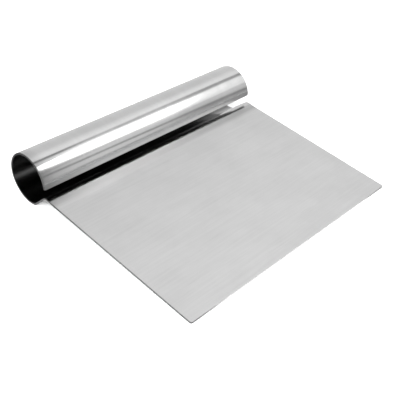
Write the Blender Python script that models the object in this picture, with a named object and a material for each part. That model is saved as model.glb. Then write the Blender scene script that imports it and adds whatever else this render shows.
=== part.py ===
"""Bench scraper: one sheet of stainless steel, flat blade in front, open rolled handle behind.

Metres, +Z up. The sheet lies at rest on a table: +X runs along the handle, +Y from the
working edge towards the handle, and the origin is at the middle of the base.
"""

import math

import bmesh
import bpy
from mathutils import Matrix, Vector

# Sheet
SHEET_WIDTH = 0.150
SHEET_THICKNESS = 0.0010
CORNER_RADIUS = 0.0012

# Blade, from the working edge to the start of the root bend
BLADE_DEPTH = 0.0988

# Root bend, which turns the sheet down below the blade, and the straight web after it
ROOT_BEND_RADIUS = 0.0030
ROOT_BEND_ANGLE = math.radians(49.0)
WEB_LENGTH = 0.0096

# Heel bend, which turns the web up into the roll
HEEL_BEND_RADIUS = 0.0054
HEEL_BEND_ANGLE = math.radians(30.5)

# Handle: an open roll that ends at a free edge above the root of the blade
HANDLE_DIAMETER = 0.0280
SLOT_HEIGHT = 0.0045

# Fineness of the round stretches
ARC_STEP = math.radians(3.0)
CORNER_SEGMENTS = 5
SHARP_ANGLE = math.radians(30.0)

# Both bend radii are those of the sheet's middle, as the roll's is
ROLL_RADIUS = (HANDLE_DIAMETER - SHEET_THICKNESS) / 2


class SheetPath:
    """The middle of the sheet, seen from its side: a line of points grown from the working edge.

    Points are (y, z) with the blade level. The heading is the angle of travel above +Y.
    """

    def __init__(self):
        self.points = [Vector((0.0, 0.0))]
        self.heading = 0.0

    def direction(self, angle):
        return Vector((math.cos(angle), math.sin(angle)))

    def straight(self, length):
        self.points.append(self.points[-1] + length * self.direction(self.heading))

    def centre_of_bend(self, radius, turn):
        """Where a bend of this radius would have its centre; a positive turn goes upwards."""
        side = self.heading + math.copysign(math.pi / 2, turn)
        return self.points[-1] + radius * self.direction(side)

    def bend(self, radius, turn):
        """Turns the sheet through an angle, in steps of at most ARC_STEP."""
        centre = self.centre_of_bend(radius, turn)
        arm = self.points[-1] - centre
        steps = math.ceil(abs(turn) / ARC_STEP)
        for step in range(1, steps + 1):
            turned = Matrix.Rotation(turn * step / steps, 2) @ arm
            self.points.append(centre + turned)
        self.heading += turn
        return centre


def roll_turn(centre, heading):
    """How far the roll turns until its free edge stands SLOT_HEIGHT above the blade's top face."""
    height = SLOT_HEIGHT + SHEET_THICKNESS / 2 - centre.y
    free_edge_angle = math.pi - math.asin(height / ROLL_RADIUS)
    start_angle = heading - math.pi / 2
    return free_edge_angle - start_angle


def sheet_path():
    """The whole sheet from working edge to free edge, and the centre of the handle's roll."""
    path = SheetPath()
    path.straight(BLADE_DEPTH)
    path.bend(ROOT_BEND_RADIUS, -ROOT_BEND_ANGLE)
    path.straight(WEB_LENGTH)
    path.bend(HEEL_BEND_RADIUS, HEEL_BEND_ANGLE)
    centre = path.centre_of_bend(ROLL_RADIUS, 1.0)
    path.bend(ROLL_RADIUS, roll_turn(centre, path.heading))
    return path.points, centre


def rest_place(roll_centre):
    """Matrix that lays the level blade's frame on the table and centres it.

    The scraper stands on the lower corner of its working edge and on the bottom of the roll,
    so it tilts by the angle between the blade and the line that touches both.
    """
    working_corner = Vector((0.0, -SHEET_THICKNESS / 2))
    outer_radius = HANDLE_DIAMETER / 2
    to_roll = roll_centre - working_corner
    reach = to_roll.length
    tilt = math.asin(outer_radius / reach) - math.atan2(to_roll.y, to_roll.x)

    back = math.sqrt(reach**2 - outer_radius**2) + outer_radius
    front = -SHEET_THICKNESS * math.sin(tilt)
    middle = (front + back) / 2

    lift_corner = Matrix.Translation((0.0, 0.0, SHEET_THICKNESS / 2))
    lean = Matrix.Rotation(tilt, 4, "X")
    centre = Matrix.Translation((0.0, -middle, 0.0))
    return centre @ lean @ lift_corner


def middle_surface(points):
    """Mesh of the sheet's middle: the path drawn across the width, with its four corners rounded."""
    mesh = bpy.data.meshes.new("scraper_sheet")
    shape = bmesh.new()
    line = [shape.verts.new((-SHEET_WIDTH / 2, point.x, point.y)) for point in points]
    edges = [shape.edges.new(pair) for pair in zip(line, line[1:])]
    drawn = bmesh.ops.extrude_edge_only(shape, edges=edges)["geom"]
    far_line = [item for item in drawn if isinstance(item, bmesh.types.BMVert)]
    bmesh.ops.translate(shape, verts=far_line, vec=(SHEET_WIDTH, 0.0, 0.0))
    corners = [vert for vert in shape.verts if len(vert.link_edges) == 2]
    bmesh.ops.bevel(
        shape,
        geom=corners,
        affect="VERTICES",
        offset=CORNER_RADIUS,
        segments=CORNER_SEGMENTS,
        profile=0.5,
    )
    bmesh.ops.recalc_face_normals(shape, faces=shape.faces)
    shape.to_mesh(mesh)
    shape.free()
    return mesh


def steel():
    """Bright stainless steel, satin from the rolling mill."""
    material = bpy.data.materials.new("stainless_steel")
    material.use_nodes = True
    shader = material.node_tree.nodes["Principled BSDF"]
    shader.inputs["Base Color"].default_value = (0.62, 0.62, 0.61, 1.0)
    shader.inputs["Metallic"].default_value = 1.0
    shader.inputs["Roughness"].default_value = 0.25
    return material


def build_sheet():
    """The scraper: its sheet's middle surface, thickened evenly to both sides."""
    points, roll_centre = sheet_path()
    mesh = middle_surface(points)
    mesh.materials.append(steel())
    mesh.shade_smooth()
    mesh.set_sharp_from_angle(angle=SHARP_ANGLE)

    sheet = bpy.data.objects.new("scraper_sheet", mesh)
    bpy.context.scene.collection.objects.link(sheet)
    sheet.matrix_world = rest_place(roll_centre)

    thickness = sheet.modifiers.new("thickness", "SOLIDIFY")
    thickness.thickness = SHEET_THICKNESS
    thickness.offset = 0.0
    thickness.use_even_offset = True
    thickness.use_quality_normals = True


def main():
    for old in list(bpy.data.objects):
        bpy.data.objects.remove(old, do_unlink=True)
    build_sheet()


main()
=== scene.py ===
"""Bench scraper: one formed sheet of stainless steel, with its finish, on a pale studio floor.

Metres, +Z up. +X runs along the handle, +Y from the working edge towards the handle. The sheet is
cut flat as a blank, and the blank is then wrapped onto a bend line, much as a press would form it.
"""

import logging
import math
from dataclasses import dataclass, field
from enum import Enum

import bmesh
import bpy
from mathutils import Matrix, Vector


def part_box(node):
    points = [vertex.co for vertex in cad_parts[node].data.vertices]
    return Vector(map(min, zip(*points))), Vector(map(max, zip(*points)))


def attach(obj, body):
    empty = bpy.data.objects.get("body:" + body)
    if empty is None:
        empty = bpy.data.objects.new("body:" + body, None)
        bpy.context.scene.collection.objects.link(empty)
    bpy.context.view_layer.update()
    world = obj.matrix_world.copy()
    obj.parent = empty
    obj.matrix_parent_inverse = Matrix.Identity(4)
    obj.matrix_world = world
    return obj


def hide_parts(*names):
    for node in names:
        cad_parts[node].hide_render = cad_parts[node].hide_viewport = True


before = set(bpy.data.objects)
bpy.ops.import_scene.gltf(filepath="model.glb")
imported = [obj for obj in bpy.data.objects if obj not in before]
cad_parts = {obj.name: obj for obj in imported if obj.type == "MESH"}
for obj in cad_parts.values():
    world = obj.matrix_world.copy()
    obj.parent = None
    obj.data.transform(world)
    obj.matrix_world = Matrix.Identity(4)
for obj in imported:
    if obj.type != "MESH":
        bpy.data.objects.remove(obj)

LOG = logging.getLogger("bench_scraper")
CAD_NODE = "scraper_sheet"
BODY = "root"
BLANK_PLACE = "blank_place"
ROLLED_MARK = "rolled"
BROAD_FACE_NORMAL = 0.995


class Face(Enum):
    """The two kinds of surface on the sheet, each with its own finish."""

    ROLLED = "rolled_steel"
    SHEARED = "sheared_edge"


class NodeTree:
    """A short way to fill a node tree: nodes by type, settings by name, links by socket."""

    def __init__(self, tree: bpy.types.NodeTree) -> None:
        """Takes the tree to fill.

        Args:
            tree: an empty or new node tree.
        """
        self.tree = tree

    def node(self, kind: str, settings: dict | None = None,
             inputs: dict | None = None) -> bpy.types.Node:
        """Adds a node.

        Args:
            kind: the node's type name.
            settings: the node's own properties, by name.
            inputs: values, or sockets to link from, by input name or index.

        Returns:
            The new node.
        """
        made = self.tree.nodes.new(kind)
        for name, value in (settings or {}).items():
            setattr(made, name, value)
        for key, value in (inputs or {}).items():
            if isinstance(value, bpy.types.NodeSocket):
                self.tree.links.new(value, made.inputs[key])
            else:
                made.inputs[key].default_value = value
        return made

    def math(self, operation: str, *values: float | bpy.types.NodeSocket) -> bpy.types.NodeSocket:
        """Adds a Math node and returns its output."""
        found = self.node("ShaderNodeMath", {"operation": operation}, dict(enumerate(values)))
        return found.outputs[0]

    def ramp(self, value: bpy.types.NodeSocket, low: float, high: float,
             to_low: float = 0.0, to_high: float = 1.0) -> bpy.types.NodeSocket:
        """Adds a smooth Map Range.

        Args:
            value: the socket that is mapped.
            low: the value that gives to_low.
            high: the value that gives to_high.
            to_low: the result at low.
            to_high: the result at high.

        Returns:
            The mapped value's socket.
        """
        spans = {"Value": value, "From Min": low, "From Max": high, "To Min": to_low, "To Max": to_high}
        mapped = self.node("ShaderNodeMapRange", {"interpolation_type": "SMOOTHSTEP"}, spans)
        return mapped.outputs["Result"]

    def blend(self, part: bpy.types.NodeSocket, first: float | bpy.types.NodeSocket,
              second: float | bpy.types.NodeSocket) -> bpy.types.NodeSocket:
        """A value that goes from the first to the second as the part goes from 0 to 1."""
        return self.node("ShaderNodeMix", {"data_type": "FLOAT"}, {0: part, 2: first, 3: second}).outputs[0]

    def off_centre(self, noise: bpy.types.NodeSocket, reach: float,
                   base: float | bpy.types.NodeSocket) -> bpy.types.NodeSocket:
        """The base value, moved by how far the noise is from its middle, times the reach."""
        return self.math("MULTIPLY_ADD", self.math("SUBTRACT", noise, 0.5), reach, base)


class SheetPath:
    """The middle of the sheet seen from its side: points grown from the working edge.

    Points are (y, z) with the blade level. The heading is the angle of travel above +Y.
    """

    def __init__(self, arc_step: float) -> None:
        """Starts at the working edge, heading along the blade.

        Args:
            arc_step: the largest angle between two points of a bend, in radians.
        """
        self.arc_step = arc_step
        self.points = [Vector((0.0, 0.0))]
        self.heading = 0.0

    @staticmethod
    def direction(angle: float) -> Vector:
        """The unit vector at an angle above +Y."""
        return Vector((math.cos(angle), math.sin(angle)))

    def straight(self, length: float, steps: int = 1) -> None:
        """Grows a flat stretch.

        Args:
            length: how long it is.
            steps: how many equal stretches it is cut into.
        """
        start = self.points[-1]
        for step in range(1, steps + 1):
            self.points.append(start + length * step / steps * self.direction(self.heading))

    def centre_of_bend(self, radius: float, turn: float) -> Vector:
        """Where a bend of this radius would have its centre; a positive turn goes upwards."""
        return self.points[-1] + radius * self.direction(self.heading + math.copysign(math.pi / 2, turn))

    def bend(self, radius: float, turn: float) -> None:
        """Grows a round stretch.

        Args:
            radius: the bend's radius at the middle of the sheet.
            turn: the angle that the sheet turns through, positive upwards.
        """
        centre = self.centre_of_bend(radius, turn)
        arm = self.points[-1] - centre
        steps = math.ceil(abs(turn) / self.arc_step)
        for step in range(1, steps + 1):
            self.points.append(centre + Matrix.Rotation(turn * step / steps, 2) @ arm)
        self.heading += turn

    def lengths(self) -> list[float]:
        """Measures how far along the sheet each point lies.

        Returns:
            Each point's distance from the working edge.
        """
        found = [0.0]
        for before, after in zip(self.points, self.points[1:]):
            found.append(found[-1] + (after - before).length)
        return found


@dataclass
class SheetSizes:
    """The formed sheet's driving sizes, in metres and radians. Radii are those of the sheet's middle.

    The blade rises a little just before the bend at its root, over the rise length.
    """

    width: float
    thickness: float = 0.0010
    corner_radius: float = 0.0012
    edge_break: float = 0.00014
    blade_depth: float = 0.0988
    rise_length: float = 0.0040
    rise_angle: float = math.radians(4.8)
    root_bend_radius: float = 0.0030
    root_bend_angle: float = math.radians(49.0)
    web_length: float = 0.0096
    heel_bend_radius: float = 0.0054
    heel_bend_angle: float = math.radians(30.5)
    handle_diameter: float = 0.0280
    slot_height: float = 0.0045
    arc_step: float = math.radians(1.5)

    @property
    def roll_radius(self) -> float:
        """The radius of the handle's roll at the middle of the sheet."""
        return (self.handle_diameter - self.thickness) / 2

    @property
    def roll_start(self) -> float:
        """How far along the sheet the handle's roll starts.

        Returns:
            The distance from the working edge.
        """
        root_bend = self.root_bend_radius * (self.root_bend_angle + self.rise_angle)
        heel_bend = self.heel_bend_radius * self.heel_bend_angle
        return self.blade_depth + root_bend + self.web_length + heel_bend


@dataclass
class FormedSheet:
    """The scraper's one piece: a flat blank wrapped onto the bend line of blade, web and handle."""

    sizes: SheetSizes
    name: str = "formed_sheet"
    corner_segments: int = 5
    columns: int = 24
    blade_rows: int = 30
    web_rows: int = 4
    edge_segments: int = 2
    edge_angle: float = math.radians(60.0)
    path: SheetPath = field(init=False)
    roll_centre: Vector = field(init=False)

    def __post_init__(self) -> None:
        """Draws the bend line, so that the blank can be cut to its length."""
        sizes = self.sizes
        self.path = SheetPath(sizes.arc_step)
        self.path.straight(sizes.blade_depth - sizes.rise_length, self.blade_rows)
        self.path.bend(sizes.rise_length / sizes.rise_angle, sizes.rise_angle)
        self.path.bend(sizes.root_bend_radius, -sizes.root_bend_angle - sizes.rise_angle)
        self.path.straight(sizes.web_length, self.web_rows)
        self.path.bend(sizes.heel_bend_radius, sizes.heel_bend_angle)
        self.roll_centre = self.path.centre_of_bend(sizes.roll_radius, 1.0)
        self.path.bend(sizes.roll_radius, self.roll_turn())

    def roll_turn(self) -> float:
        """Works out how far the roll turns until its free edge is a slot's height above the blade.

        Returns:
            The roll's angle in radians.
        """
        sizes = self.sizes
        height = sizes.slot_height + sizes.thickness / 2 - self.roll_centre.y
        free_edge = math.pi - math.asin(height / sizes.roll_radius)
        return free_edge - (self.path.heading - math.pi / 2)

    def rest_place(self) -> Matrix:
        """Lays the level blade's frame on the table, centred as the CAD is.

        Returns:
            The matrix from the level blade's frame to the table's.
        """
        sizes = self.sizes
        outer_radius = sizes.handle_diameter / 2
        to_roll = self.roll_centre - Vector((0.0, -sizes.thickness / 2))
        tilt = math.asin(outer_radius / to_roll.length) - math.atan2(to_roll.y, to_roll.x)
        back = math.sqrt(to_roll.length**2 - outer_radius**2) + outer_radius
        front = -sizes.thickness * math.sin(tilt)
        centre = Matrix.Translation((0.0, -(front + back) / 2, 0.0))
        lift = Matrix.Translation((0.0, 0.0, sizes.thickness / 2))
        return centre @ Matrix.Rotation(tilt, 4, "X") @ lift

    def blank(self) -> bpy.types.Object:
        """Cuts the flat blank: X across, Y along the sheet, with rounded corners and broken edges.

        Returns:
            The blank as an object, with the Solidify and Bevel that thicken it and break its edges.
        """
        shape = bmesh.new()
        rows = self.path.lengths()
        half = self.sizes.width / 2
        margin = 2 * self.sizes.corner_radius
        inner = [
            -half + margin + (2 * half - 2 * margin) * step / self.columns
            for step in range(self.columns + 1)
        ]
        across = [-half, *inner, half]
        grid = [[shape.verts.new((x, y, 0.0)) for x in across] for y in rows]
        for near, far in zip(grid, grid[1:]):
            for left in range(len(across) - 1):
                shape.faces.new((near[left], near[left + 1], far[left + 1], far[left]))
        self.round_corners(shape)
        mesh = bpy.data.meshes.new(self.name + "_blank")
        shape.to_mesh(mesh)
        shape.free()
        blank = bpy.data.objects.new(self.name + "_blank", mesh)
        bpy.context.scene.collection.objects.link(blank)
        self.thicken(blank)
        return blank

    def round_corners(self, shape: bmesh.types.BMesh) -> None:
        """Cuts the blank's four corners round.

        Args:
            shape: the blank's flat grid.
        """
        corners = [vert for vert in shape.verts if len(vert.link_edges) == 2]
        bmesh.ops.bevel(
            shape, geom=corners, affect="VERTICES", offset=self.sizes.corner_radius,
            segments=self.corner_segments, profile=0.5, clamp_overlap=False,
        )

    def thicken(self, blank: bpy.types.Object) -> None:
        """Gives the blank its thickness and breaks its sheared edges.

        Args:
            blank: the flat blank.
        """
        solid = blank.modifiers.new("thickness", "SOLIDIFY")
        solid.thickness = self.sizes.thickness
        solid.offset = 0.0
        broken = blank.modifiers.new("edge_break", "BEVEL")
        broken.width = self.sizes.edge_break
        broken.segments = self.edge_segments
        broken.limit_method = "ANGLE"
        broken.angle_limit = self.edge_angle

    def bend_line(self) -> bpy.types.Object:
        """Draws the bend line, from the working edge to the free edge.

        Returns:
            The line as a curve object.
        """
        curve = bpy.data.curves.new(self.name + "_line", "CURVE")
        curve.dimensions = "3D"
        spline = curve.splines.new("POLY")
        spline.points.add(len(self.path.points) - 1)
        for point, place in zip(spline.points, self.path.points):
            point.co = (0.0, place.x, place.y, 1.0)
        line = bpy.data.objects.new(self.name + "_line", curve)
        bpy.context.scene.collection.objects.link(line)
        return line

    def forming_tree(self) -> bpy.types.GeometryNodeTree:
        """Geometry Nodes that wrap a flat blank onto a bend line and give each face its finish.

        Returns:
            The tree, with named inputs for the line, the place on the table and the two finishes.
        """
        tree = bpy.data.node_groups.new("form_sheet", "GeometryNodeTree")
        face = tree.interface
        face.new_socket("Blank", in_out="INPUT", socket_type="NodeSocketGeometry")
        face.new_socket("Bend Line", in_out="INPUT", socket_type="NodeSocketObject")
        face.new_socket("Rest Tilt", in_out="INPUT", socket_type="NodeSocketRotation")
        face.new_socket("Rest Shift", in_out="INPUT", socket_type="NodeSocketVector")
        face.new_socket("Rolled Finish", in_out="INPUT", socket_type="NodeSocketMaterial")
        face.new_socket("Sheared Finish", in_out="INPUT", socket_type="NodeSocketMaterial")
        face.new_socket("Sheet", in_out="OUTPUT", socket_type="NodeSocketGeometry")
        nodes = NodeTree(tree)
        given = nodes.node("NodeGroupInput")
        place = nodes.node("GeometryNodeInputPosition").outputs[0]
        flat = nodes.node("ShaderNodeSeparateXYZ", inputs={0: place})
        remembered = nodes.node(
            "GeometryNodeStoreNamedAttribute", {"data_type": "FLOAT_VECTOR", "domain": "POINT"},
            {"Geometry": given.outputs["Blank"], "Name": BLANK_PLACE, "Value": place},
        )
        rolled = self.facing_up_or_down(nodes)
        marked = self.mark_rolled(nodes, remembered.outputs[0], rolled)
        line = nodes.node("GeometryNodeObjectInfo", inputs={"Object": given.outputs["Bend Line"]})
        sample = nodes.node(
            "GeometryNodeSampleCurve", {"mode": "LENGTH"},
            {"Curves": line.outputs["Geometry"], "Length": flat.outputs["Y"]},
        )
        side = nodes.node(
            "ShaderNodeVectorMath", {"operation": "CROSS_PRODUCT"},
            {0: (1.0, 0.0, 0.0), 1: sample.outputs["Tangent"]},
        )
        level = nodes.node(
            "ShaderNodeVectorMath", {"operation": "SCALE"}, {0: side.outputs[0], "Scale": flat.outputs["Z"]},
        )
        across = nodes.node("ShaderNodeCombineXYZ", inputs={"X": flat.outputs["X"]})
        bent = nodes.node(
            "ShaderNodeVectorMath", {"operation": "ADD"},
            {0: sample.outputs["Position"], 1: level.outputs[0]},
        )
        spread = nodes.node(
            "ShaderNodeVectorMath", {"operation": "ADD"}, {0: bent.outputs[0], 1: across.outputs[0]},
        )
        formed = nodes.node(
            "GeometryNodeSetPosition", inputs={"Geometry": marked, "Position": spread.outputs[0]},
        )
        laid = nodes.node(
            "GeometryNodeTransform",
            inputs={
                "Geometry": formed.outputs[0], "Translation": given.outputs["Rest Shift"],
                "Rotation": given.outputs["Rest Tilt"],
            },
        )
        self.close_tree(nodes, laid.outputs[0], given)
        return tree

    @staticmethod
    def facing_up_or_down(nodes: NodeTree) -> bpy.types.NodeSocket:
        """Selects the blank's two broad faces, by their normals.

        Args:
            nodes: the tree.

        Returns:
            The selection.
        """
        normal = nodes.node("GeometryNodeInputNormal").outputs[0]
        upward = nodes.node("ShaderNodeSeparateXYZ", inputs={0: normal}).outputs["Z"]
        return nodes.math("GREATER_THAN", nodes.math("ABSOLUTE", upward), BROAD_FACE_NORMAL)

    @staticmethod
    def mark_rolled(nodes: NodeTree, blank: bpy.types.NodeSocket,
                    rolled: bpy.types.NodeSocket) -> bpy.types.NodeSocket:
        """Marks which faces are rolled, before the blank is bent.

        Args:
            nodes: the tree.
            blank: the blank's geometry.
            rolled: the selection of its broad faces.

        Returns:
            The marked geometry.
        """
        marked = nodes.node(
            "GeometryNodeStoreNamedAttribute", {"data_type": "FLOAT", "domain": "FACE"},
            {"Geometry": blank, "Name": ROLLED_MARK, "Value": rolled},
        )
        return marked.outputs[0]

    @staticmethod
    def close_tree(nodes: NodeTree, sheet: bpy.types.NodeSocket, given: bpy.types.Node) -> None:
        """Ends the tree in smooth shading, Realize Instances and Set Material.

        Args:
            nodes: the tree.
            sheet: the formed sheet.
            given: the group's input node.
        """
        is_rolled = nodes.node(
            "GeometryNodeInputNamedAttribute", {"data_type": "FLOAT"}, {"Name": ROLLED_MARK},
        ).outputs["Attribute"]
        smooth = nodes.node("GeometryNodeSetShadeSmooth", inputs={"Geometry": sheet})
        real = nodes.node("GeometryNodeRealizeInstances", inputs={"Geometry": smooth.outputs[0]})
        sheared = nodes.node(
            "GeometryNodeSetMaterial",
            inputs={"Geometry": real.outputs[0], "Material": given.outputs["Sheared Finish"]},
        )
        rolled = nodes.node(
            "GeometryNodeSetMaterial",
            inputs={
                "Geometry": sheared.outputs[0], "Selection": is_rolled,
                "Material": given.outputs["Rolled Finish"],
            },
        )
        nodes.node("NodeGroupOutput", inputs={"Sheet": rolled.outputs[0]})

    def build(self, finishes: dict[Face, bpy.types.Material]) -> bpy.types.Object:
        """Forms the sheet, lays it on the table and keeps it as a plain mesh.

        Args:
            finishes: the material of each kind of face.

        Returns:
            The finished piece.
        """
        blank = self.blank()
        line = self.bend_line()
        tree = self.forming_tree()
        place = self.rest_place()
        former = blank.modifiers.new("form", "NODES")
        former.node_group = tree
        values = {
            "Bend Line": line,
            "Rest Tilt": place.to_euler(),
            "Rest Shift": place.to_translation(),
            "Rolled Finish": finishes[Face.ROLLED],
            "Sheared Finish": finishes[Face.SHEARED],
        }
        for item in tree.interface.items_tree:
            if item.name in values:
                former[item.identifier] = values[item.name]
        evened = blank.modifiers.new("shading", "WEIGHTED_NORMAL")
        evened.keep_sharp = True
        graph = bpy.context.evaluated_depsgraph_get()
        mesh = bpy.data.meshes.new_from_object(blank.evaluated_get(graph), depsgraph=graph)
        mesh.name = self.name
        for helper in (blank, line):
            bpy.data.objects.remove(helper)
        piece = bpy.data.objects.new(self.name, mesh)
        bpy.context.scene.collection.objects.link(piece)
        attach(piece, BODY)
        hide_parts(CAD_NODE)
        LOG.info("%s: %d faces, %s", piece.name, len(mesh.polygons), [m.name for m in mesh.materials])
        return piece


@dataclass(frozen=True)
class Noise:
    """Noise with its own fineness in each direction of the blank.

    Its waves per metre are given across, along and through the sheet.
    """

    waves: tuple[float, float, float]
    detail: float
    roughness: float = 0.6

    def value(self, nodes: NodeTree, place: bpy.types.NodeSocket) -> bpy.types.NodeSocket:
        """Adds the noise to a material.

        Args:
            nodes: the material's tree.
            place: the place on the blank.

        Returns:
            The noise's value, around 0.5.
        """
        scaled = nodes.node("ShaderNodeMapping", inputs={"Vector": place, "Scale": self.waves})
        noise = nodes.node(
            "ShaderNodeTexNoise", {"noise_dimensions": "3D"},
            {"Vector": scaled.outputs[0], "Scale": 1.0, "Detail": self.detail, "Roughness": self.roughness},
        )
        return noise.outputs[0]


@dataclass(frozen=True)
class Relief:
    """How strongly a height shows as bump, and how high it stands in metres."""

    strength: float
    distance: float

    def normal(self, nodes: NodeTree, height: bpy.types.NodeSocket,
               below: bpy.types.NodeSocket | None = None) -> bpy.types.NodeSocket:
        """Adds the bump to a material.

        Args:
            nodes: the material's tree.
            height: the height, from 0 to 1.
            below: the normal that the bump is laid on, if there is one.

        Returns:
            The bumped normal.
        """
        inputs = {"Strength": self.strength, "Distance": self.distance, "Height": height}
        if below is not None:
            inputs["Normal"] = below
        return nodes.node("ShaderNodeBump", inputs=inputs).outputs[0]


class SteelMaterial:
    """A grey metal that is read from places on the flat blank."""

    def __init__(self, name: str) -> None:
        """Starts the material.

        Args:
            name: the material's name.
        """
        self.made = bpy.data.materials.new(name)
        self.made.use_nodes = True
        self.nodes = NodeTree(self.made.node_tree)
        attribute = self.nodes.node("ShaderNodeAttribute", {"attribute_name": BLANK_PLACE})
        self.place = attribute.outputs["Vector"]
        flat = self.nodes.node("ShaderNodeSeparateXYZ", inputs={0: self.place})
        self.across, self.along, self.through = flat.outputs["X"], flat.outputs["Y"], flat.outputs["Z"]

    def close(self, shade: bpy.types.NodeSocket, roughness: bpy.types.NodeSocket,
              normal: bpy.types.NodeSocket) -> bpy.types.Material:
        """Joins the finished values to the shader.

        Args:
            shade: how bright the steel is.
            roughness: how rough it is.
            normal: its bumped normal.

        Returns:
            The finished material.
        """
        colour = self.nodes.node(
            "ShaderNodeCombineColor", inputs={"Red": shade, "Green": shade, "Blue": shade},
        )
        shader = self.made.node_tree.nodes["Principled BSDF"]
        shader.inputs["Metallic"].default_value = 1.0
        links = {"Base Color": colour.outputs[0], "Roughness": roughness, "Normal": normal}
        for name, socket in links.items():
            self.made.node_tree.links.new(socket, shader.inputs[name])
        return self.made


@dataclass(frozen=True)
class RolledSteel:
    """Bright rolled stainless: satin on the blade, polished on the handle, with painted shade inside the
    roll.

    The blade keeps the long grain of the rolling mill. The handle has faint marks round it, such as
    polishing and hands leave, and a painted highlight along its free edge.
    A line of painted shade crosses the blade just before its bend.
    """

    sizes: SheetSizes
    sheet_length: float
    handle_colour: float = 0.60
    blade_colour: float = 0.60
    # Painted highlight: a brighter colour along the handle's free edge.
    edge_highlight_colour: float = 0.90
    # Painted shade: a dark colour for the inside of the roll.
    bore_shade_colour: float = 0.15
    blade_roughness: float = 0.33
    root_roughness: float = 0.12
    handle_roughness: float = 0.15
    bore_roughness: float = 0.22
    # Width and core of the painted highlight along the free edge.
    edge_highlight_width: float = 0.0030
    edge_highlight_core: float = 0.0012
    # Painted shade: a dark line across the blade just before its bend.
    root_shade_offset: float = 0.0038
    root_shade_half_width: float = 0.0045
    root_shade_core: float = 0.0007
    root_shade_colour: float = 0.43
    root_polish: tuple[float, float] = (0.0026, 0.0014)
    # Painted shade: the handle's left end is darkened over this length.
    end_shade_length: float = 0.009
    end_shade_tone: float = 0.80
    bore_fade: tuple[float, float] = (0.004, 0.006)
    polish_depth: float = 0.6
    roughness_reach: float = 0.08
    tone_span: tuple[float, float] = (0.25, 0.75)
    grain_tones: tuple[float, float] = (0.967, 1.033)
    smudge_tones: tuple[float, float] = (0.965, 1.035)
    scratch_span: tuple[float, float] = (0.68, 0.78)
    scratch_tone: float = 0.90
    mill_grain: Noise = Noise((30.0, 900.0, 400.0), 5.0)
    polish_marks: Noise = Noise((520.0, 16.0, 400.0), 4.0)
    smudge: Noise = Noise((38.0, 46.0, 38.0), 3.0)
    wave: Noise = Noise((14.0, 85.0, 20.0), 2.0)
    scratch: Noise = Noise((60.0, 5200.0, 400.0), 1.0)
    fine_relief: Relief = Relief(0.08, 0.00002)
    broad_relief: Relief = Relief(0.4, 0.0002)

    def brightness(self, steel: SteelMaterial, on_handle: bpy.types.NodeSocket,
                   in_bore: bpy.types.NodeSocket) -> bpy.types.NodeSocket:
        """How bright the steel is at each place, with its painted highlight and painted shade.

        Args:
            steel: the material that is being built.
            on_handle: 1 on the handle and 0 on the blade.
            in_bore: 1 inside the roll and 0 elsewhere.

        Returns:
            The brightness of the steel.
        """
        nodes, across, along = steel.nodes, steel.across, steel.along
        half = self.sizes.width / 2
        from_middle = nodes.math("ABSOLUTE", across)
        # Painted highlight along the handle's free edge, fading out near both ends.
        middle = nodes.ramp(from_middle, half, half - 4 * self.end_shade_length)
        near_edge = nodes.ramp(
            along, self.sheet_length - self.edge_highlight_width, self.sheet_length - self.edge_highlight_core,
        )
        edge_highlight = nodes.math("MULTIPLY", near_edge, middle)
        handle = nodes.blend(edge_highlight, self.handle_colour, self.edge_highlight_colour)
        # Painted shade: darker towards the handle's left end.
        end_shade = nodes.ramp(across, self.end_shade_length - half, -half, 1.0, self.end_shade_tone)
        shaded_handle = nodes.math("MULTIPLY", handle, end_shade)
        # Painted shade: a dark line across the blade just before its bend.
        root_shade_place = self.sizes.blade_depth - self.root_shade_offset
        from_root_shade = nodes.math("ABSOLUTE", nodes.math("SUBTRACT", along, root_shade_place))
        blade = nodes.ramp(
            from_root_shade, self.root_shade_half_width, self.root_shade_core,
            self.blade_colour, self.root_shade_colour,
        )
        # Painted shade replaces the steel's colour inside the roll.
        return nodes.blend(in_bore, nodes.blend(on_handle, blade, shaded_handle), self.bore_shade_colour)

    def roughness(self, steel: SteelMaterial, on_handle: bpy.types.NodeSocket,
                  in_bore: bpy.types.NodeSocket) -> bpy.types.NodeSocket:
        """How rough the clean steel is at each place.

        Args:
            steel: the material that is being built.
            on_handle: 1 on the handle and 0 on the blade.
            in_bore: 1 inside the roll and 0 elsewhere.

        Returns:
            The roughness of the steel.
        """
        nodes = steel.nodes
        start, full = self.root_polish
        root = nodes.ramp(steel.along, self.sizes.blade_depth - start, self.sizes.blade_depth - full)
        blade = nodes.blend(root, self.blade_roughness, self.root_roughness)
        outside = nodes.blend(on_handle, blade, self.handle_roughness)
        return nodes.blend(in_bore, outside, self.bore_roughness)

    def material(self) -> bpy.types.Material:
        """Builds the material.

        Returns:
            The rolled steel material.
        """
        steel = SteelMaterial(Face.ROLLED.value)
        nodes, place = steel.nodes, steel.place
        start = self.sizes.roll_start
        before, after = self.bore_fade
        on_handle = nodes.ramp(steel.along, self.sizes.blade_depth, start)
        in_roll = nodes.ramp(steel.along, start - before, start + after)
        in_bore = nodes.math("MULTIPLY", in_roll, nodes.math("GREATER_THAN", steel.through, 0.0))

        polish_marks = nodes.off_centre(self.polish_marks.value(nodes, place), self.polish_depth, 0.5)
        grain = nodes.blend(on_handle, self.mill_grain.value(nodes, place), polish_marks)
        smudge = self.smudge.value(nodes, place)
        wave = self.wave.value(nodes, place)
        scratch = self.scratch.value(nodes, place)

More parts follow.
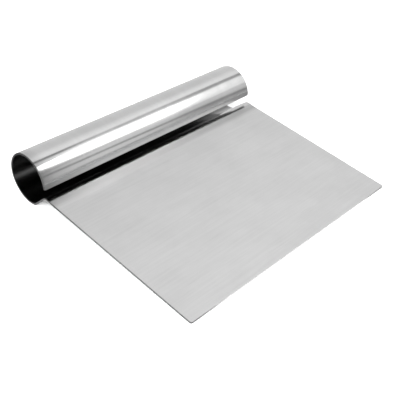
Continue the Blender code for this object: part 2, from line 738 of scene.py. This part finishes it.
        clean = self.roughness(steel, on_handle, in_bore)
        grained = nodes.off_centre(grain, self.roughness_reach, clean)
        roughness = nodes.off_centre(smudge, self.roughness_reach, grained)
        grain_tone = nodes.ramp(grain, *self.tone_span, *self.grain_tones)
        smudge_tone = nodes.ramp(smudge, *self.tone_span, *self.smudge_tones)
        marks = nodes.math("MULTIPLY", grain_tone, smudge_tone)
        scratched = nodes.ramp(scratch, *self.scratch_span, 1.0, self.scratch_tone)
        scored = nodes.math("MULTIPLY", marks, scratched)
        shade = nodes.math("MULTIPLY", scored, self.brightness(steel, on_handle, in_bore))
        fine = self.fine_relief.normal(nodes, grain)
        return steel.close(shade, roughness, self.broad_relief.normal(nodes, wave, fine))


@dataclass(frozen=True)
class ShearedEdge:
    """The sheet's cut edges: dull from the shear, darkened by painted shade, but bright along the working
    edge.

    The bright part stops short of the sheet's two front corners, where painted shade darkens it.
    """

    sizes: SheetSizes
    # Painted shade: the cut edges get dark colours, darker on the handle than on the blade.
    handle_colour: float = 0.07
    blade_colour: float = 0.14
    ground_colour: float = 0.50
    sheared_roughness: float = 0.38
    ground_roughness: float = 0.30
    roughness_reach: float = 0.2
    working_edge: tuple[float, float] = (0.0012, 0.0002)
    # Painted shade near the front corners: the bright working edge fades out there.
    ground_fade: tuple[float, float] = (0.004, 0.026)
    edge_shade_length: float = 0.05
    marks: Noise = Noise((900.0, 900.0, 150.0), 2.0)
    mark_span: tuple[float, float] = (0.3, 0.7)
    mark_tones: tuple[float, float] = (0.82, 1.14)
    relief: Relief = Relief(0.3, 0.00003)

    def material(self) -> bpy.types.Material:
        """Builds the material.

        Returns:
            The sheared edge material.
        """
        steel = SteelMaterial(Face.SHEARED.value)
        nodes = steel.nodes
        half, root = self.sizes.width / 2, self.sizes.blade_depth
        none, full = self.ground_fade
        from_middle = nodes.math("ABSOLUTE", steel.across)
        at_front = nodes.ramp(steel.along, *self.working_edge)
        # Painted shade: the bright working edge fades out near the front corners.
        ground = nodes.math("MULTIPLY", at_front, nodes.ramp(from_middle, half - none, half - full))
        marks = self.marks.value(nodes, steel.place)
        tone = nodes.ramp(marks, *self.mark_span, *self.mark_tones)
        # Painted shade darkens the cut edges, more towards the handle.
        sheared = nodes.ramp(
            steel.along, root - self.edge_shade_length, root, self.blade_colour, self.handle_colour,
        )
        shade = nodes.math("MULTIPLY", tone, nodes.blend(ground, sheared, self.ground_colour))
        clean = nodes.blend(ground, self.sheared_roughness, self.ground_roughness)
        roughness = nodes.off_centre(marks, self.roughness_reach, clean)
        return steel.close(shade, roughness, self.relief.normal(nodes, marks))


def glow_paint(name: str) -> tuple[bpy.types.Material, NodeTree]:
    """Starts a material that is only light, with an empty node tree.

    Args:
        name: the material's name.

    Returns:
        The material and its tree.
    """
    paint = bpy.data.materials.new(name)
    paint.use_nodes = True
    paint.node_tree.nodes.clear()
    return paint, NodeTree(paint.node_tree)


def hang_in_studio(name: str, mesh: bpy.types.Mesh, hidden_from: tuple[str, ...] = ()) -> bpy.types.Object:
    """Puts a mesh in the scene as part of the stage.

    Args:
        name: the object's name.
        mesh: its mesh.
        hidden_from: the kinds of ray that don't see it.

    Returns:
        The object.
    """
    hung = bpy.data.objects.new(name, mesh)
    bpy.context.scene.collection.objects.link(hung)
    for ray in hidden_from:
        setattr(hung, "visible_" + ray, False)
    return hung


@dataclass(frozen=True)
class Panel:
    """A soft-edged studio panel that only the steel's reflections see: a strip beside the X axis.

    Its two long edges are given by their angles above the +Y horizon at its left and right ends. It
    fades out over a part of its length at each end, and over a part of its breadth at each long edge.
    """

    name: str
    brightness: float
    span: tuple[float, float]
    low: tuple[float, float]
    high: tuple[float, float]
    fade_ends: tuple[float, float] = (0.1, 0.1)
    fade_edges: tuple[float, float] = (0.15, 0.15)
    distance: float = 0.9
    rows: int = 8

    def point(self, part: float, side: int) -> tuple[float, float, float]:
        """The panel's point at a part of its breadth, at its left or right end."""
        angle = math.radians(self.low[side] + (self.high[side] - self.low[side]) * part)
        return (self.span[side], self.distance * math.cos(angle), self.distance * math.sin(angle))

    def build(self) -> bpy.types.Object:
        """Hangs the panel.

        Returns:
            The panel, hung in the scene.
        """
        mesh = bpy.data.meshes.new(self.name)
        points = [self.point(step / self.rows, side) for step in range(self.rows + 1) for side in (0, 1)]
        faces = [(2 * row, 2 * row + 1, 2 * row + 3, 2 * row + 2) for row in range(self.rows)]
        mesh.from_pydata(points, [], faces)
        parts = mesh.attributes.new("part", "FLOAT_VECTOR", "POINT")
        for index, value in enumerate(parts.data):
            value.vector = (index % 2, (index // 2) / self.rows, 0.0)
        mesh.materials.append(self.paint())
        hidden_from = ("camera", "diffuse", "transmission", "volume_scatter", "shadow")
        return hang_in_studio(self.name, mesh, hidden_from)

    def paint(self) -> bpy.types.Material:
        """An even glow that thins out towards the panel's edges.

        Returns:
            The panel's material.
        """
        paint, nodes = glow_paint(self.name)
        part = nodes.node("ShaderNodeAttribute", {"attribute_name": "part"}).outputs["Vector"]
        split = nodes.node("ShaderNodeSeparateXYZ", inputs={0: part})
        cover: bpy.types.NodeSocket | float = 1.0
        ways = ((split.outputs["X"], self.fade_ends), (split.outputs["Y"], self.fade_edges))
        for value, fades in ways:
            if fades[0] > 0.0:
                cover = nodes.math("MULTIPLY", nodes.ramp(value, 0.0, fades[0]), cover)
            if fades[1] > 0.0:
                cover = nodes.math("MULTIPLY", nodes.ramp(value, 1.0, 1.0 - fades[1]), cover)
        clear = nodes.node("ShaderNodeBsdfTransparent")
        glow = nodes.node("ShaderNodeEmission", inputs={"Strength": self.brightness})
        mixed = nodes.node("ShaderNodeMixShader", inputs={0: cover, 1: clear.outputs[0], 2: glow.outputs[0]})
        nodes.node("ShaderNodeOutputMaterial", inputs={"Surface": mixed.outputs[0]})
        return paint


@dataclass(frozen=True)
class FloorCard(Panel):
    """A panel that lies just above the floor: low and high are its distances in front of the X axis."""

    clearance: float = 0.0008

    def point(self, part: float, side: int) -> tuple[float, float, float]:
        """The card's point at a part of its breadth, at its left or right end."""
        ahead = self.low[side] + (self.high[side] - self.low[side]) * part
        return (self.span[side], -ahead, self.clearance)


@dataclass
class Studio:
    """The pale floor, the lights and the white dome, the panels that the steel mirrors, and the camera.

    The two suns light the floor and aren't mirrored. Only the camera sees the dome.
    """

    floor_half_size: float = 3.0
    floor_albedo: float = 0.95
    floor_roughness: float = 0.9
    dome_segments: int = 48
    surround_brightness: float = 0.86
    key_power: float = 5.0
    key_place: tuple[float, float, float] = (-0.9, -0.8, 1.1)
    fill_power: float = 1.3
    fill_place: tuple[float, float, float] = (0.9, 0.9, 1.2)
    light_spread: float = 45.0
    backdrop_brightness: float = 1.1
    camera_place: tuple[float, float, float] = (-0.2336, -0.2012, 0.2209)
    camera_azimuth: float = 48.95
    camera_elevation: float = 36.56
    camera_roll: float = 4.59
    lens_mm: float = 64.5
    sensor_mm: float = 36.0
    panels: tuple[Panel, ...] = (
        Panel("overhead_panel", 1.20, (-0.6, 1.6), (44.0, 44.0), (85.0, 86.0), (0.0, 0.0), (0.8, 0.10)),
        Panel("overhead_shade", 1.02, (0.82, 1.6), (44.0, 44.0), (85.0, 86.0), (0.12, 0.0), (0.8, 0.10),
              0.895),
        Panel("overhead_gap", 0.62, (0.5, 1.0), (83.0, 83.0), (97.0, 99.0), (0.2, 0.0), (0.3, 0.3), 0.91),
        Panel("overhead_gap_right", 0.34, (0.7, 1.6), (84.0, 84.0), (100.0, 100.0), (0.2, 0.0), (0.4, 0.4),
              0.905),
        Panel("overhead_gap_left", 0.12, (-0.6, 0.54), (67.0, 69.0), (103.0, 94.0), (0.0, 0.1), (0.35, 0.3),
              0.91),
        Panel("front_card", 0.40, (-0.6, 1.6), (98.0, 98.0), (180.0, 180.0), (0.0, 0.0), (0.1, 0.0), 0.94),
        Panel("front_fill", 0.92, (0.40, 0.88), (140.0, 140.0), (180.0, 180.0), (0.2, 0.4), (0.1, 0.0), 0.93),
        Panel("side_fill", 1.15, (0.62, 1.6), (98.0, 98.0), (157.0, 168.0), (0.2, 0.0), (0.1, 0.3), 0.92),
        Panel("front_softbox", 7.0, (0.30, 0.82), (105.0, 102.0), (128.0, 144.0), (0.3, 0.35), (0.16, 0.5),
              0.90),
        Panel("softbox_skirt", 1.9, (0.40, 0.80), (92.0, 96.0), (142.0, 151.0), (0.2, 0.4), (0.1, 0.35),
              0.91),
        Panel("side_skirt", 0.80, (0.74, 1.2), (140.0, 140.0), (163.0, 186.0), (0.2, 0.0), (0.1, 0.45),
              0.905),
        Panel("upper_bar", 0.28, (0.34, 1.1), (148.0, 170.0), (158.0, 181.0), (0.1, 0.0), (0.45, 0.45), 0.89),
    )
    floor_cards: tuple[FloorCard, ...] = (
        FloorCard("front_floor_card", 0.50, (-0.2, 1.2), (0.110, 0.110), (0.9, 0.9), (0.1, 0.1), (0.01, 0.1)),
        FloorCard("near_floor_card", 0.25, (-0.2, 1.2), (0.069, 0.069), (0.111, 0.111), (0.1, 0.1),
                  (0.1, 0.1)),
        FloorCard("side_floor_card", 0.40, (0.08, 0.6), (-0.035, -0.035), (0.065, 0.065), (0.0, 0.1),
                  (0.1, 0.04)),
        FloorCard("back_floor_card", 0.72, (-0.9, 1.2), (-1.4, -1.4), (-0.07, -0.07), (0.1, 0.1), (0.1, 0.0)),
    )

    def build(self) -> None:
        """Sets the floor, the lights, the panels and the camera."""
        bpy.context.scene.view_settings.view_transform = "Standard"
        self.set_surround()
        self.lay_floor()
        self.hang_light("key", self.key_power, self.key_place)
        self.hang_light("fill", self.fill_power, self.fill_place)
        self.hang_backdrop()
        for panel in (*self.panels, *self.floor_cards):
            panel.build()
        self.set_camera()

    def set_surround(self) -> None:
        """An even pale surround."""
        world = bpy.data.worlds.new("surround")
        world.use_nodes = True
        shade = world.node_tree.nodes["Background"]
        shade.inputs["Color"].default_value = (1.0, 1.0, 1.0, 1.0)
        shade.inputs["Strength"].default_value = self.surround_brightness
        bpy.context.scene.world = world

    def lay_floor(self) -> None:
        """A plain pale floor at the height of the scraper's base."""
        half = self.floor_half_size
        mesh = bpy.data.meshes.new("floor")
        corners = [(-half, -half, 0.0), (half, -half, 0.0), (half, half, 0.0), (-half, half, 0.0)]
        mesh.from_pydata(corners, [], [(0, 1, 2, 3)])
        paint = bpy.data.materials.new("floor")
        paint.use_nodes = True
        shader = paint.node_tree.nodes["Principled BSDF"]
        shader.inputs["Base Color"].default_value = (self.floor_albedo,) * 3 + (1.0,)
        shader.inputs["Roughness"].default_value = self.floor_roughness
        shader.inputs["Specular IOR Level"].default_value = 0.0
        mesh.materials.append(paint)
        hang_in_studio("floor", mesh)

    def hang_light(self, name: str, power: float, place: tuple[float, float, float]) -> None:
        """Hangs a soft sun, which lights the floor but isn't mirrored by the steel.

        Args:
            name: the light's name.
            power: its strength.
            place: where it shines from, towards the origin.
        """
        light = bpy.data.lights.new(name, "SUN")
        light.energy = power
        light.angle = math.radians(self.light_spread)
        lamp = bpy.data.objects.new(name, light)
        lamp.location = place
        lamp.rotation_euler = (-Vector(place)).to_track_quat("-Z", "Y").to_euler()
        lamp.visible_glossy = False
        lamp.visible_camera = False
        bpy.context.scene.collection.objects.link(lamp)

    def hang_backdrop(self) -> None:
        """A white dome round the floor, which only the camera sees, so that no horizon shows."""
        shape = bmesh.new()
        bmesh.ops.create_uvsphere(
            shape, u_segments=self.dome_segments, v_segments=self.dome_segments // 2,
            radius=self.floor_half_size,
        )
        mesh = bpy.data.meshes.new("backdrop")
        shape.to_mesh(mesh)
        shape.free()
        paint, nodes = glow_paint("backdrop")
        glow = nodes.node("ShaderNodeEmission", inputs={"Strength": self.backdrop_brightness})
        nodes.node("ShaderNodeOutputMaterial", inputs={"Surface": glow.outputs[0]})
        mesh.materials.append(paint)
        hidden_from = ("diffuse", "glossy", "transmission", "volume_scatter", "shadow")
        hang_in_studio("backdrop", mesh, hidden_from)

    def set_camera(self) -> None:
        """A camera above the near end of the handle, looking across the blade."""
        data = bpy.data.cameras.new("camera")
        data.lens = self.lens_mm
        data.sensor_width = self.sensor_mm
        camera = bpy.data.objects.new("camera", data)
        azimuth, elevation = math.radians(self.camera_azimuth), math.radians(self.camera_elevation)
        ahead = Vector((
            math.sin(azimuth) * math.cos(elevation),
            math.cos(azimuth) * math.cos(elevation),
            -math.sin(elevation),
        ))
        turn = ahead.to_track_quat("-Z", "Y").to_matrix().to_4x4()
        roll = Matrix.Rotation(math.radians(self.camera_roll), 4, "Z")
        camera.matrix_world = Matrix.Translation(self.camera_place) @ turn @ roll
        bpy.context.scene.collection.objects.link(camera)
        bpy.context.scene.camera = camera


def main() -> None:
    """Builds the finishes, the sheet and the studio, in that order."""
    logging.basicConfig(level=logging.INFO, format="%(name)s: %(message)s")
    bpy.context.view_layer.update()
    low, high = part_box(CAD_NODE)
    sizes = SheetSizes(width=high[0] - low[0])
    sheet = FormedSheet(sizes)
    sheet.build({
        Face.ROLLED: RolledSteel(sizes, sheet.path.lengths()[-1]).material(),
        Face.SHEARED: ShearedEdge(sizes).material(),
    })
    Studio().build()


if __name__ == "__main__":
    main()
